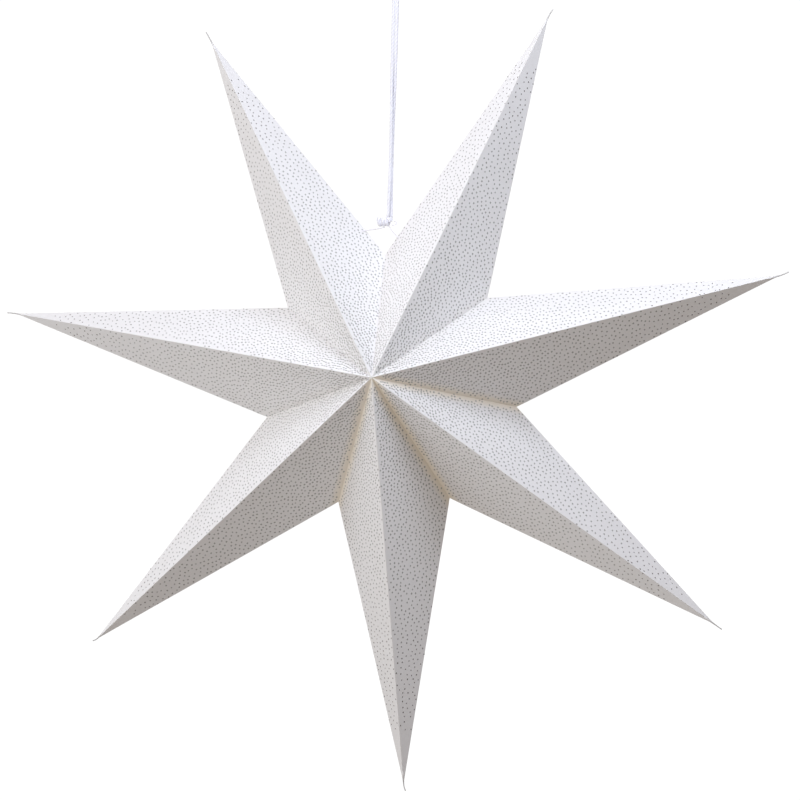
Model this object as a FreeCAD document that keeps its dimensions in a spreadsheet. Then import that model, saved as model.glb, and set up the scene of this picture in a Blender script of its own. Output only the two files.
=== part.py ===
import FreeCAD
import Part
import Sketcher
import math
import os

# A folding seven-pointed paper star that hangs on a doubled string.
# Millimetres. +Z is up, the star faces -Y, and the origin is where the string lies on its hook.
# Rays are numbered clockwise from the seam at the top, as seen from the front.
# Each ray is one folded card: four triangular panels, two glue flaps and a closing tab.

DRIVING_SIZES = {
    # the star, measured from its middle
    "ray_count": 7,
    "tip_radius": 300.0,
    "valley_radius": 98.0,
    "half_depth": 85.0,
    "hang_tilt": 3.6,
    "hang_drop": 330.0,
    "side_step": 3.5,
    # the card, its creases and the drawn-out tips
    "card_thickness": 0.3,
    "crease_gap": 0.05,
    "back_apex_gap": 2.15,
    "back_tip_notch": 6.5,
    "folded_half_ray": 2.0,
    "tail_length": 8.5,
    "tail_root": 6.0,
    "tail_width": 1.4,
    "tail_end_width": 0.5,
    # glue flaps along the valleys, and the tab that closes each ray
    "flap_width": 12.0,
    "flap_from_apex": 26.0,
    "flap_apex_slant": 19.0,
    "flap_from_valley": 5.0,
    "flap_valley_slant": 12.0,
    "tab_width": 10.0,
    "tab_from_valley": 25.0,
    "tab_valley_slant": 10.0,
    "tab_from_tip": 42.0,
    "tab_tip_slant": 24.0,
    "strip_inset": 0.6,
    # the doubled string and the hook it lies on
    "string_diameter": 2.6,
    "strand_gap": 0.2,
    "hook_diameter": 8.0,
    "loop_depth": 24.0,
    "gather_bend_share": 0.45,
    # the knot
    "knot_gap": 0.3,
    "knot_above_seam": 24.9,
    "knot_height": 7.4,
    "knot_waist": 6.2,
    "knot_turns": 4,
    "knot_turn_pitch": 3.6,
    "knot_turn_crest": 1.6,
    "knot_right_end": 2.7,
    "curl_radius": 1.6,
    "curl_thickness": 1.5,
    "curl_turn": 250.0,
    # the two ties at the seam
    "tie_diameter": 1.3,
    "tie_gap": 0.7,
    "left_tie_side": 3.5,
    "tie_hole_diameter": 2.8,
    "tie_hole_inset": 3.2,
    "right_tie_reach": 16.0,
    "left_tie_reach": 25.0,
    "tie_knot_diameter": 3.0,
    "tie_knot_length": 2.4,
    "tie_knot_swell": 0.72,
    "tie_knot_gap": 0.15,
}

document = FreeCAD.newDocument("FoldingStar")
sizes = document.addObject("Spreadsheet::Sheet", "sizes")
for row, (alias, value) in enumerate(DRIVING_SIZES.items(), start=1):
    sizes.set(f"A{row}", alias)
    sizes.set(f"B{row}", str(value))
    sizes.setAlias(f"B{row}", alias)
document.recompute()


def size(alias):
    """A driving dimension, read from the sheet."""
    return float(sizes.get(alias))


# ---- what follows from the driving sizes: side lengths and crease angles of the panels ----

card = document.addObject("App::VarSet", "card")


def derive(name, formula):
    """A value that the sheet's sizes fix, kept in the document beside them."""
    card.addProperty("App::PropertyFloat", name)
    card.setExpression(name, formula)


derive("half_ray", "180 / sizes.ray_count")
derive("ridge_length", "sqrt(sizes.tip_radius ^ 2 + sizes.half_depth ^ 2)")
derive("valley_length", "sqrt(sizes.valley_radius ^ 2 + sizes.half_depth ^ 2)")
derive(
    "outline_length",
    "sqrt(sizes.tip_radius ^ 2 + sizes.valley_radius ^ 2"
    " - 2 * sizes.tip_radius * sizes.valley_radius * cos(card.half_ray))",
)
derive(
    "apex_angle",
    "acos((card.ridge_length ^ 2 + card.valley_length ^ 2 - card.outline_length ^ 2)"
    " / (2 * card.ridge_length * card.valley_length)) / 1 deg",
)
derive("tip_angle", "asin(card.valley_length / card.outline_length * sin(card.apex_angle)) / 1 deg")
derive("corner_angle", "180 - card.apex_angle - card.tip_angle")

# Half the angle at the outline crease, with the star open.
derive(
    "outline_open",
    "atan(sizes.half_depth * card.outline_length"
    " / (sizes.tip_radius * sizes.valley_radius * sin(card.half_ray))) / 1 deg",
)

# Folded away the panels keep their shape, which fixes the new depth and radii of the star.
derive("radii_gap", "sizes.tip_radius ^ 2 - sizes.valley_radius ^ 2")
derive("fold_sum", "card.radii_gap - card.outline_length ^ 2")
derive("fold_half", "card.fold_sum - cos(sizes.folded_half_ray) ^ 2 * card.radii_gap")
derive("fold_root", "sqrt(card.fold_half ^ 2 - (sin(sizes.folded_half_ray) * card.fold_sum) ^ 2)")
derive(
    "folded_valley_radius",
    "sqrt((0 - card.fold_half - card.fold_root) / (2 * sin(sizes.folded_half_ray) ^ 2))",
)
derive("folded_depth", "sqrt(card.valley_length ^ 2 - card.folded_valley_radius ^ 2)")
derive("folded_tip_radius", "sqrt(card.ridge_length ^ 2 - card.folded_depth ^ 2)")

# Half the angle that is left inside a ridge and outside a valley when the star is folded away.
derive("fold_turn", "sin(sizes.folded_half_ray) / sin(card.apex_angle)")
derive(
    "ridge_folded",
    "asin(card.folded_valley_radius / card.valley_length * card.fold_turn) / 1 deg",
)
derive(
    "valley_folded",
    "asin(card.folded_tip_radius / card.ridge_length * card.fold_turn) / 1 deg",
)

# The knot keeps its height above the seam's outline corner.
derive(
    "knot_drop",
    "sizes.hang_drop - sizes.valley_radius * cos(sizes.hang_tilt) - sizes.knot_above_seam",
)
document.recompute()

# ---- points of the star ----

RAYS = int(size("ray_count"))
HALF_CARD = size("card_thickness") / 2
MIDDLE = FreeCAD.Vector(size("side_step"), 0, -size("hang_drop"))
FRONT_APEX = MIDDLE - FreeCAD.Vector(0, size("half_depth"), 0)
BACK_APEX = MIDDLE + FreeCAD.Vector(0, size("half_depth"), 0)


def round_the_star(radius, half_rays):
    """A point of the outline, counted clockwise from the seam in half rays."""
    turn = math.radians(half_rays * card.half_ray - size("hang_tilt"))
    return MIDDLE + FreeCAD.Vector(radius * math.sin(turn), 0, radius * math.cos(turn))


def tip(ray):
    return round_the_star(size("tip_radius"), 2 * ray - 1)


def valley(ray):
    """The valley clockwise of a ray. Valley 0 is the seam."""
    return round_the_star(size("valley_radius"), 2 * ray)


def frame_at(origin, along, towards):
    """A placement with X along a crease and Y across the card towards a third point."""
    x_axis = (along - origin).normalize()
    across = towards - origin
    y_axis = (across - x_axis * across.dot(x_axis)).normalize()
    z_axis = x_axis.cross(y_axis)
    return FreeCAD.Placement(origin, FreeCAD.Rotation(x_axis, y_axis, z_axis, "ZXY"))


def inner_side(placement, opposite_apex):
    """+1 where the frame's Z points into the star, else -1."""
    z_axis = placement.Rotation.multVec(FreeCAD.Vector(0, 0, 1))
    return 1 if z_axis.dot(opposite_apex - placement.Base) > 0 else -1


# ---- bodies and sketches ----

NODES = []


def keep(node, label):
    """Gives a sub-part its own name and lists it for export."""
    node.Label = label
    NODES.append(node)
    return node


def new_body(label, placement):
    body = keep(document.addObject("PartDesign::Body", label), label)
    body.Placement = placement
    return body


def new_sketch(body, name):
    """A sketch on the body's own XY plane, which lies in the card."""
    sketch = body.newObject("Sketcher::SketchObject", name)
    planes = [plane for plane in body.Origin.OriginFeatures if plane.Role == "XY_Plane"]
    sketch.AttachmentSupport = (planes[0], "")
    sketch.MapMode = "FlatFace"
    return sketch


def value_of(formula):
    return float(card.evalExpression(formula))


def bind_point(sketch, geometry, vertex, formulas):
    """Holds a point of a sketch at a place that the sheet gives."""
    for kind, formula in zip(("DistanceX", "DistanceY"), formulas):
        distance = Sketcher.Constraint(kind, -1, 1, geometry, vertex, value_of(formula))
        index = sketch.addConstraint(distance)
        sketch.setExpression(f"Constraints[{index}]", formula)


def draw_outline(sketch, corners):
    """Straight sides through corners whose X and Y are formulas of the sheet."""
    points = [FreeCAD.Vector(value_of(x), value_of(y), 0) for x, y in corners]
    count = len(points)
    for side in range(count):
        sketch.addGeometry(Part.LineSegment(points[side], points[(side + 1) % count]), False)
    for side in range(count):
        sketch.addConstraint(Sketcher.Constraint("Coincident", side, 2, (side + 1) % count, 1))
    for side, formulas in enumerate(corners):
        bind_point(sketch, side, 1, formulas)


def pad(body, sketch, name, thickness, reversed_side=False, both_sides=False):
    feature = body.newObject("PartDesign::Pad", name)
    feature.Profile = sketch
    feature.setExpression("Length", thickness)
    feature.Reversed = reversed_side
    feature.Midplane = both_sides
    sketch.Visibility = False
    return feature


# ---- panels: the four triangles of a ray's folded card ----


def nearest_edge(shape, start, end, height):
    """The edge parallel to a crease and nearest to it, on one face of the card."""
    start = FreeCAD.Vector(start.x, start.y, height)
    direction = (FreeCAD.Vector(end.x, end.y, height) - start).normalize()
    best_name, best_distance = None, None
    for number, edge in enumerate(shape.Edges, start=1):
        run = (edge.Vertexes[1].Point - edge.Vertexes[0].Point).normalize()
        if run.cross(direction).Length > 1e-4 or abs(edge.CenterOfMass.z - height) > 1e-4:
            continue
        aside = edge.CenterOfMass - start
        distance = (aside - direction * aside.dot(direction)).Length
        if best_distance is None or distance < best_distance:
            best_name, best_distance = f"Edge{number}", distance
    return best_name


def score(body, base, name, start, end, height, half_angle):
    """Thins one face of the card along a crease, so that the fold can close that far."""
    document.recompute()
    feature = body.newObject("PartDesign::Chamfer", name)
    feature.Base = (base, [nearest_edge(base.Shape, start, end, height)])
    feature.ChamferType = "Two distances"
    feature.setExpression("Size", "sizes.card_thickness / 2")
    feature.setExpression("Size2", f"sizes.card_thickness / 2 / tan({half_angle})")
    return feature


def tip_tail(body, label, inner):
    """The pinched end of the card that runs on past the tip, half a card thick."""
    root = "(card.ridge_length - sizes.tail_root)"
    end = "(card.ridge_length + sizes.tail_length)"
    sketch = new_sketch(body, f"{label}_tail_sketch")
    corners = [
        (root, "sizes.crease_gap"),
        (end, "sizes.crease_gap"),
        (end, "sizes.crease_gap + sizes.tail_end_width"),
        (root, "sizes.crease_gap + sizes.tail_width"),
    ]
    draw_outline(sketch, corners)
    pad(body, sketch, f"{label}_tail", "sizes.card_thickness / 2", reversed_side=inner > 0)


def cut_through(body, sketch, name):
    feature = body.newObject("PartDesign::Pocket", name)
    feature.Profile = sketch
    feature.Midplane = True
    feature.Type = "ThroughAll"
    sketch.Visibility = False


def clip_tip(body, label):
    """Cuts the very tip off a back panel, where the tail of the front one lies when folded."""
    start = "card.ridge_length - sizes.back_tip_notch"
    end = "card.ridge_length + sizes.card_thickness"
    sketch = new_sketch(body, f"{label}_notch_sketch")
    corners = [
        (start, "0 - sizes.card_thickness"),
        (end, "0 - sizes.card_thickness"),
        (end, "sizes.back_tip_notch"),
        (start, "sizes.back_tip_notch"),
    ]
    draw_outline(sketch, corners)
    cut_through(body, sketch, f"{label}_notch")


def tie_hole(body, label, reach):
    """The punched hole for a tie, beside the outline and near the seam."""
    x = (
        "card.valley_length * cos(card.apex_angle)"
        f" + {reach} * cos(card.tip_angle) - sizes.tie_hole_inset * sin(card.tip_angle)"
    )
    y = (
        "card.valley_length * sin(card.apex_angle)"
        f" - {reach} * sin(card.tip_angle) - sizes.tie_hole_inset * cos(card.tip_angle)"
    )
    sketch = new_sketch(body, f"{label}_hole_sketch")
    centre = FreeCAD.Vector(value_of(x), value_of(y), 0)
    radius = size("tie_hole_diameter") / 2
    sketch.addGeometry(Part.Circle(centre, FreeCAD.Vector(0, 0, 1), radius), False)
    bind_point(sketch, 0, 3, (x, y))
    index = sketch.addConstraint(Sketcher.Constraint("Radius", 0, radius))
    sketch.setExpression(f"Constraints[{index}]", "sizes.tie_hole_diameter / 2")
    cut_through(body, sketch, f"{label}_hole")
    return body.Placement.multVec(centre)


def panel(label, apex, opposite_apex, ray_tip, valley_point, apex_gap):
    """One triangle of card between a ridge, a valley and the star's outline."""
    placement = frame_at(apex, ray_tip, valley_point)
    inner = inner_side(placement, opposite_apex)
    body = new_body(label, placement)
    sketch = new_sketch(body, f"{label}_sketch")
    gap = "sizes.crease_gap"
    valley_run = (
        f"(card.valley_length - {gap} * (1 + cos(card.corner_angle)) / sin(card.corner_angle))"
    )
    corners = [
        (f"({gap} + {apex_gap} * cos(card.apex_angle)) / sin(card.apex_angle)", apex_gap),
        (f"card.ridge_length - {gap} * (1 + cos(card.tip_angle)) / sin(card.tip_angle)", gap),
        (
            f"{valley_run} * cos(card.apex_angle) + {gap} * sin(card.apex_angle)",
            f"{valley_run} * sin(card.apex_angle) - {gap} * cos(card.apex_angle)",
        ),
    ]
    draw_outline(sketch, corners)
    sheet = pad(body, sketch, f"{label}_sheet", "sizes.card_thickness", both_sides=True)
    at_apex, at_tip, at_valley = [
        FreeCAD.Vector(value_of(x), value_of(y), 0) for x, y in corners
    ]
    inside, outside = inner * HALF_CARD, -inner * HALF_CARD
    outline = score(
        body, sheet, f"{label}_outline", at_tip, at_valley, inside, "card.outline_open"
    )
    ridge = score(body, outline, f"{label}_ridge", at_apex, at_tip, inside, "card.ridge_folded")
    score(body, ridge, f"{label}_valley", at_valley, at_apex, outside, "card.valley_folded")
    return body, inner


tie_points = {}
for ray in range(1, RAYS + 1):
    for side, valley_point in (("left", valley(ray - 1)), ("right", valley(ray))):
        front_label = f"ray_{ray}_front_{side}"
        front, front_inner = panel(
            front_label, FRONT_APEX, BACK_APEX, tip(ray), valley_point, "sizes.crease_gap"
        )
        # the back panels leave room at their ridge for the fold, and the left one for the tail
        back_label = f"ray_{ray}_back_{side}"
        back, _ = panel(
            back_label, BACK_APEX, FRONT_APEX, tip(ray), valley_point, "sizes.back_apex_gap"
        )
        if side == "left":
            tip_tail(front, front_label, front_inner)
            clip_tip(back, back_label)
        if ray == 1 and side == "left":
            tie_points["right"] = tie_hole(front, front_label, "sizes.right_tie_reach")
        if ray == RAYS and side == "right":
            tie_points["left"] = tie_hole(front, front_label, "sizes.left_tie_reach")

# ---- glued strips on the inside of the panels ----


def strip(label, origin, along, towards, opposite_apex, corners):
    """A strip of card glued flat on the inner face of a panel, along one of its sides."""
    placement = frame_at(origin, along, towards)
    inner = inner_side(placement, opposite_apex)
    lift = FreeCAD.Vector(0, 0, inner * HALF_CARD)
    placement.Base = placement.multVec(lift)
    body = new_body(label, placement)
    sketch = new_sketch(body, f"{label}_sketch")
    draw_outline(sketch, corners)
    pad(body, sketch, f"{label}_sheet", "sizes.card_thickness", reversed_side=inner < 0)


def glue_flap(label, apex, opposite_apex, ray_tip, valley_point):
    far_end = "card.valley_length - sizes.flap_from_valley"
    corners = [
        ("sizes.flap_from_apex", "sizes.strip_inset"),
        (far_end, "sizes.strip_inset"),
        (f"{far_end} - sizes.flap_valley_slant", "sizes.flap_width"),
        ("sizes.flap_from_apex + sizes.flap_apex_slant", "sizes.flap_width"),
    ]
    strip(label, apex, valley_point, ray_tip, opposite_apex, corners)


def closing_tab(label, apex, opposite_apex, ray_tip, valley_point):
    far_end = "card.outline_length - sizes.tab_from_tip"
    corners = [
        ("sizes.tab_from_valley", "sizes.strip_inset"),
        (far_end, "sizes.strip_inset"),
        (f"{far_end} - sizes.tab_tip_slant", "sizes.tab_width"),
        ("sizes.tab_from_valley + sizes.tab_valley_slant", "sizes.tab_width"),
    ]
    strip(label, valley_point, ray_tip, apex, opposite_apex, corners)


for ray in range(1, RAYS + 1):
    closing_tab(f"ray_{ray}_closing_tab", FRONT_APEX, BACK_APEX, tip(ray), valley(ray))
    for face, apex, other in (("front", FRONT_APEX, BACK_APEX), ("back", BACK_APEX, FRONT_APEX)):
        if ray < RAYS:
            # a ray's flaps are glued inside the next ray
            glue_flap(f"ray_{ray}_{face}_glue_flap", apex, other, tip(ray + 1), valley(ray))
        else:
            # the last ray's flaps have no neighbour, so they are turned in as hems
            glue_flap(f"seam_{face}_hem", apex, other, tip(ray), valley(ray))

# ---- the doubled string, laid over its hook ----


def hanging_string():
    """A tube down from the hook, whose two strands lie side by side to the knot."""
    radius = size("string_diameter") / 2
    apart = radius + size("strand_gap") / 2
    hook_centre = FreeCAD.Vector(0, 0, -size("hook_diameter") / 2)
    wrap_radius = size("hook_diameter") / 2 + radius
    gather = FreeCAD.Vector(apart, 0, -size("loop_depth"))
    lower_end = FreeCAD.Vector(apart, 0, size("knot_height") / 2 - card.knot_drop)
    lower_end.z += size("knot_gap")

    # where a straight strand from the gathering point touches the turn round the hook
    reach = gather - hook_centre
    bearing = math.atan2(reach.z, reach.x) + math.acos(wrap_radius / reach.Length)
    touch = hook_centre + FreeCAD.Vector(math.cos(bearing), 0, math.sin(bearing)) * wrap_radius

    # the slight bend where the strands come together
    upwards = (touch - gather).normalize()
    downwards = (lower_end - gather).normalize()
    cut = size("gather_bend_share") * (touch - gather).Length
    half_turn = (math.pi - upwards.getAngle(downwards)) / 2
    bend_radius = cut / math.tan(half_turn)
    bend_start = gather + upwards * cut
    bend_end = gather + downwards * cut
    sagitta = bend_radius * (1 / math.cos(half_turn) - 1)
    bend_middle = gather + (upwards + downwards).normalize() * sagitta
    print(f"string: wrap radius {wrap_radius:.1f}, bend radius {bend_radius:.0f}")

    def mirrored(point):
        return FreeCAD.Vector(-point.x, point.y, point.z)

    top = hook_centre + FreeCAD.Vector(0, 0, wrap_radius)
    edges = [
        Part.LineSegment(lower_end, bend_end),
        Part.Arc(bend_end, bend_middle, bend_start),
        Part.LineSegment(bend_start, touch),
        Part.Arc(touch, top, mirrored(touch)),
        Part.LineSegment(mirrored(touch), mirrored(bend_start)),
        Part.Arc(mirrored(bend_start), mirrored(bend_middle), mirrored(bend_end)),
        Part.LineSegment(mirrored(bend_end), mirrored(lower_end)),
    ]
    path = Part.Wire([edge.toShape() for edge in edges])
    section = Part.Wire(Part.Circle(lower_end, FreeCAD.Vector(0, 0, 1), radius).toShape())
    tube = path.makePipeShell([section], True, False)
    expected = math.pi * radius**2 * path.Length
    print(f"string: length {path.Length:.1f}, volume {tube.Volume:.0f} for {expected:.0f}")
    return tube


string = keep(document.addObject("Part::Feature", "hanging_string"), "hanging_string")
string.Shape = hanging_string()
string.Placement = FreeCAD.Placement()

# ---- round pieces, each a stack of cylinders and cones on one axis ----


def turned(label, base, axis, sections):
    """Cylinders and cones end to end, from (length, first radius, last radius) formulas."""
    turn = FreeCAD.Rotation(FreeCAD.Vector(0, 0, 1), axis)
    shapes = []
    run = 0.0
    for number, (length, first, last) in enumerate(sections, start=1):
        kind = "Part::Cylinder" if first == last else "Part::Cone"
        shape = document.addObject(kind, f"{label}_{number}")
        radii = {"Radius": first} if first == last else {"Radius1": first, "Radius2": last}
        for prop, formula in {"Height": length, **radii}.items():
            shape.setExpression(prop, formula)
        shape.Placement = FreeCAD.Placement(base + axis * run, turn)
        shapes.append(shape)
        run += value_of(length)
    return shapes


def fuse(label, shapes):
    result = keep(document.addObject("Part::MultiFuse", label), label)
    result.Shapes = shapes
    return result


# ---- the knot: the turns wound beside the string, and a curled end ----

flank = "(sizes.knot_turn_pitch - sizes.knot_turn_crest) / 2"
waist = "sizes.knot_waist / 2"
crest = "sizes.knot_height / 2"
turns = []
for turn in range(int(size("knot_turns"))):
    turns += [(flank, waist, crest), ("sizes.knot_turn_crest", crest, crest), (flank, crest, waist)]
knot_length = size("knot_turns") * size("knot_turn_pitch")
knot_start = FreeCAD.Vector(size("knot_right_end") - knot_length, 0, -card.knot_drop)
knot_shapes = turned("knot_turn", knot_start, FreeCAD.Vector(1, 0, 0), turns)

curl = document.addObject("Part::Torus", "knot_curl")
curl.setExpression("Radius1", "sizes.curl_radius")
curl.setExpression("Radius2", "sizes.curl_thickness / 2")
curl.setExpression("Angle3", "sizes.curl_turn")
# the ring starts square on the knot's end face, turns out and comes back below
curl.Placement = FreeCAD.Placement(
    FreeCAD.Vector(size("knot_right_end"), 0, -card.knot_drop - size("curl_radius")),
    FreeCAD.Rotation(
        FreeCAD.Vector(0, 0, 1), FreeCAD.Vector(1, 0, 0), FreeCAD.Vector(0, 1, 0), "XYZ"
    ),
)
fuse("knot", knot_shapes + [curl])

# ---- the ties: from the knot through the card beside the seam to a stopper knot inside ----


def tie(side, start, seam_tip):
    """A thin string that holds one edge of the seam to the knot."""
    hole = tie_points[side]
    placement = frame_at(FRONT_APEX, seam_tip, valley(0))
    inwards = placement.Rotation.multVec(FreeCAD.Vector(0, 0, 1))
    inwards = inwards * inner_side(placement, BACK_APEX)
    direction = (hole - start).normalize()
    slope = direction.getAngle(inwards)
    # how far past the card its stopper knot swells to its full width
    lift = HALF_CARD + size("tie_knot_gap") + size("tie_knot_diameter") / 2 * math.sin(slope)
    run = (hole - start).Length + lift / math.cos(slope) - size("tie_knot_swell")
    thin = "sizes.tie_diameter / 2"
    wide = "sizes.tie_knot_diameter / 2"
    sections = [
        (str(run), thin, thin),
        ("sizes.tie_knot_swell", thin, wide),
        ("sizes.tie_knot_length - 2 * sizes.tie_knot_swell", wide, wide),
        ("sizes.tie_knot_swell", wide, thin),
    ]
    fuse(f"{side}_tie", turned(f"{side}_tie_run", start, direction, sections))


tie_top = -card.knot_drop - size("knot_height") / 2 - size("tie_gap")
tie("right", FreeCAD.Vector(0, 0, tie_top), tip(1))
tie("left", FreeCAD.Vector(-size("left_tie_side"), 0, tie_top), tip(RAYS))

# ---- check and export ----

document.recompute()
for item in document.Objects:
    if "Invalid" in item.State or "Error" in item.State:
        raise RuntimeError(f"{item.Label} failed: {item.State}")
os.makedirs("parts", exist_ok=True)
for node in NODES:
    if node.Shape.isNull() or not node.Shape.isValid() or not node.Shape.Solids:
        raise RuntimeError(f"{node.Label} is not a valid solid")
for node in NODES:
    node.Shape.exportStep(f"parts/{node.Label}.step")
print(f"{len(NODES)} nodes written")
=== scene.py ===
"""A folding seven-pointed paper star on a doubled string, dressed around its CAD frame."""

import cmath
import math

import bpy
from bpy.props import (
    FloatProperty,
    FloatVectorProperty,
    IntProperty,
    PointerProperty,
)
from mathutils import Matrix, Vector, noise


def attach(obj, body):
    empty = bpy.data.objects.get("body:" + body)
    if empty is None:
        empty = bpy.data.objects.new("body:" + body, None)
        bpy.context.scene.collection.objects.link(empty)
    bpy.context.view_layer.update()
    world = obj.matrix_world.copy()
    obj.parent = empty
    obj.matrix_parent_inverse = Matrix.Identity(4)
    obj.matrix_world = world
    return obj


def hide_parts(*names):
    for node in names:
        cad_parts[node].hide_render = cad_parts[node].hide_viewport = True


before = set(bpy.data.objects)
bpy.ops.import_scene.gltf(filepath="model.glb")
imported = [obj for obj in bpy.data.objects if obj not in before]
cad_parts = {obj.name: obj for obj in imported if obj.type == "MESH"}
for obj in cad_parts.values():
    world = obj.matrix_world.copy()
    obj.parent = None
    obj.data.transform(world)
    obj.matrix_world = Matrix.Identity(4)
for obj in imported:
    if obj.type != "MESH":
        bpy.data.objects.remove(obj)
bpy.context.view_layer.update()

bl_info = {
    "name": "Folding paper star",
    "version": (1, 0, 0),
    "blender": (4, 5, 0),
    "location": "3D View > Sidebar > Paper star",
    "description": "Builds a pricked card star, its string, knot and ties",
    "category": "Object",
}

MM = 0.001


# ---- sizes and colours that a user would change ----


def length(name, description, default, low=0.0):
    """A length property, given in millimetres and kept in metres."""
    return FloatProperty(
        name=name,
        description=description,
        default=default * MM,
        min=low,
        unit="LENGTH",
        precision=5,
    )


def colour(name, description, default):
    """A colour property."""
    return FloatVectorProperty(
        name=name, description=description, default=default, size=3, subtype="COLOR", min=0, max=1
    )


class StarSizes(bpy.types.PropertyGroup):
    """The folded star's own sizes."""

    rays: IntProperty(name="Rays", description="Number of folded rays", default=7, min=3)
    tip_radius: length("Tip radius", "From the middle to a ray's straight tip", 300.0)
    valley_radius: length("Valley radius", "From the middle to an inner corner", 98.0)
    half_depth: length("Half depth", "From the middle to the front or back point", 85.0)
    tilt: FloatProperty(
        name="Tilt",
        description="How far the star leans on its string",
        default=math.radians(3.6),
        subtype="ANGLE",
    )
    drop: length("Drop", "From the hook down to the middle", 330.0)
    side_step: length("Side step", "From the string's line to the middle", 3.5)
    card: length("Card", "Thickness of the card", 0.3)
    folded_ridge: FloatProperty(
        name="Folded ridge",
        description="Half the angle left inside a ridge when the star is folded away",
        default=math.radians(2.185),
        subtype="ANGLE",
    )
    folded_valley: FloatProperty(
        name="Folded valley",
        description="Half the angle left outside a valley when the star is folded away",
        default=math.radians(3.415),
        subtype="ANGLE",
    )
    open_ridge: FloatProperty(
        name="Open ridge",
        description="Half the angle inside a ridge when the star hangs open",
        default=math.radians(36.38),
        subtype="ANGLE",
    )
    gap: length("Crease gap", "Gap from a panel's side to its crease", 0.03)


class CardLook(bpy.types.PropertyGroup):
    """The card's surface."""

    white: colour("White", "Colour of the card", (0.90, 0.897, 0.905))
    shade: colour("Shade", "Colour in the card's darker fibres", (0.85, 0.847, 0.85))
    # painted light: the crease colour is a warm glow painted into the low valleys for light bounced
    # between the panels, not a colour of the scored card
    crease: colour("Crease", "Warm colour where the card is scored in a valley", (0.95, 0.88, 0.75))
    glow_width: length("Crease width", "How far the warm colour reaches", 10.0)
    swell: length("Swell", "How far a panel bows in its middle", 0.5)


class PrickLook(bpy.types.PropertyGroup):
    """The pin pricks that dot every panel."""

    spacing: length("Spacing", "Least distance between pricks at the middle", 1.12, 0.0005)
    even: length("Even middle", "How far out the pricks stay about equally close", 40.0)
    radius: length("Radius", "Radius of a prick's open middle", 0.61)
    lip: length("Lip", "Width of the raised lip round a prick", 0.15)
    height: length("Height", "Height of the raised lip", 0.06)
    # painted shade: a prick's closed middle is coloured dark for the unlit inside seen through a hole
    colour: colour("Prick", "Colour seen in a prick", (0.08, 0.075, 0.07))
    seed: IntProperty(name="Seed", description="Fixed seed of the pattern", default=7)


class StringLook(bpy.types.PropertyGroup):
    """The string, its knot and its ties."""

    thickness: length("Thickness", "Thickness of one strand", 2.6)
    lay: length("Lay", "Length of one full twist", 9.0)
    tie: length("Tie", "Thickness of a tie", 0.95)
    colour: colour("String", "Colour of the string", (0.89, 0.89, 0.94))
    # painted shade: the groove colour darkens the yarn between its plies, where shade falls
    groove: colour("Groove", "Colour between the twisted plies", (0.72, 0.73, 0.81))
    tie_colour: colour("Tie", "Colour of the ties", (0.90, 0.89, 0.93))


GROUPS = {
    "star_sizes": StarSizes,
    "star_card": CardLook,
    "star_pricks": PrickLook,
    "star_string": StringLook,
}


def sizes():
    """The star's sizes as the sidebar has them."""
    return bpy.context.scene.star_sizes


# ---- points of the star, as the CAD frame has them ----


def middle():
    s = sizes()
    return Vector((s.side_step, 0, -s.drop))


def front_apex():
    return middle() - Vector((0, sizes().half_depth, 0))


def back_apex():
    return middle() + Vector((0, sizes().half_depth, 0))


def round_the_star(radius, half_rays):
    """A point of the outline, clockwise from the seam in half rays."""
    turn = math.pi / sizes().rays * half_rays - sizes().tilt
    return middle() + Vector((radius * math.sin(turn), 0, radius * math.cos(turn)))


def tip(ray):
    return round_the_star(sizes().tip_radius, 2 * ray - 1)


def valley(ray):
    return round_the_star(sizes().valley_radius, 2 * ray)


def smooth(value, low, high):
    """0 below low, 1 above high, and a soft step between."""
    t = min(1.0, max(0.0, (value - low) / (high - low)))
    return t * t * (3 - 2 * t)


# ---- shared shader groups ----


def node(tree, kind, **settings):
    """A new node with its settings."""
    made = tree.nodes.new(kind)
    for name, value in settings.items():
        setattr(made, name, value)
    return made


def socket(tree, name, kind, outwards=False):
    """A named input or output of a node group."""
    side = "OUTPUT" if outwards else "INPUT"
    tree.interface.new_socket(name=name, in_out=side, socket_type=kind)


def math_node(tree, operation, first, second):
    """What a Math node makes of two values or sockets."""
    made = node(tree, "ShaderNodeMath", operation=operation)
    for place, value in enumerate((first, second)):
        if hasattr(value, "is_linked"):
            tree.links.new(value, made.inputs[place])
        else:
            made.inputs[place].default_value = value
    return made.outputs[0]


def mix_colour(tree, factor, first, second):
    """A colour between two colours or sockets."""
    made = node(tree, "ShaderNodeMix", data_type="RGBA")
    for place, value in ((0, factor), (6, first), (7, second)):
        if hasattr(value, "is_linked"):
            tree.links.new(value, made.inputs[place])
        else:
            made.inputs[place].default_value = value
    return made.outputs[2]


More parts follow.
